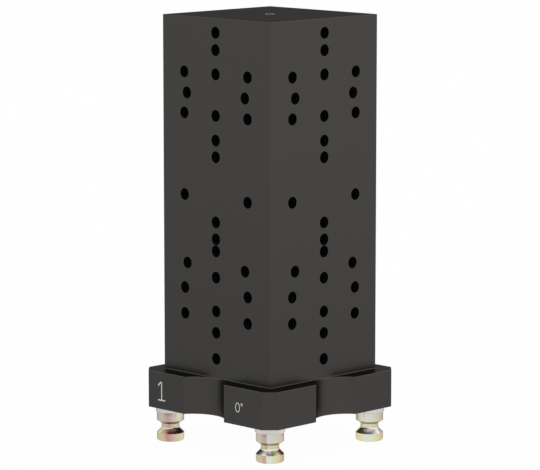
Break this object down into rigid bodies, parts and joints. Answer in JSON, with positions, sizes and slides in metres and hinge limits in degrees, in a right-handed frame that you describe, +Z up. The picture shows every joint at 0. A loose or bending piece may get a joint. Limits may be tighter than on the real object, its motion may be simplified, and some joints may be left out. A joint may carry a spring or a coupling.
{
  "type": "cnc tombstone fixture",
  "caption": "Square one-piece tombstone column with tapped holes on every face and a scalloped base plate that stands on zero-point pull studs.",
  "frame": {"origin": "on the column's axis, at the level of the pull studs' lower ends", "axes": "+Z up the column; the column's faces look along +X, -X, +Y and -Y, and the front face looks along -Y"},
  "size_m": [0.1246, 0.1246, 0.2907],
  "materials": {
    "anodised_aluminium": "black anodised, satin",
    "ground_steel": "ground, bright",
    "yellow_zinc_steel": "zinc plated, yellow passivate"
  },
  "bodies": {
    "root": {"tombstone_body": "anodised_aluminium", "locating_ring_front_left": "ground_steel", "pull_stud_front_left": "yellow_zinc_steel", "locating_ring_front_right": "ground_steel", "pull_stud_front_right": "yellow_zinc_steel", "locating_ring_back_right": "ground_steel", "pull_stud_back_right": "yellow_zinc_steel", "locating_ring_back_left": "ground_steel", "pull_stud_back_left": "yellow_zinc_steel"}
  },
  "joints": []
}
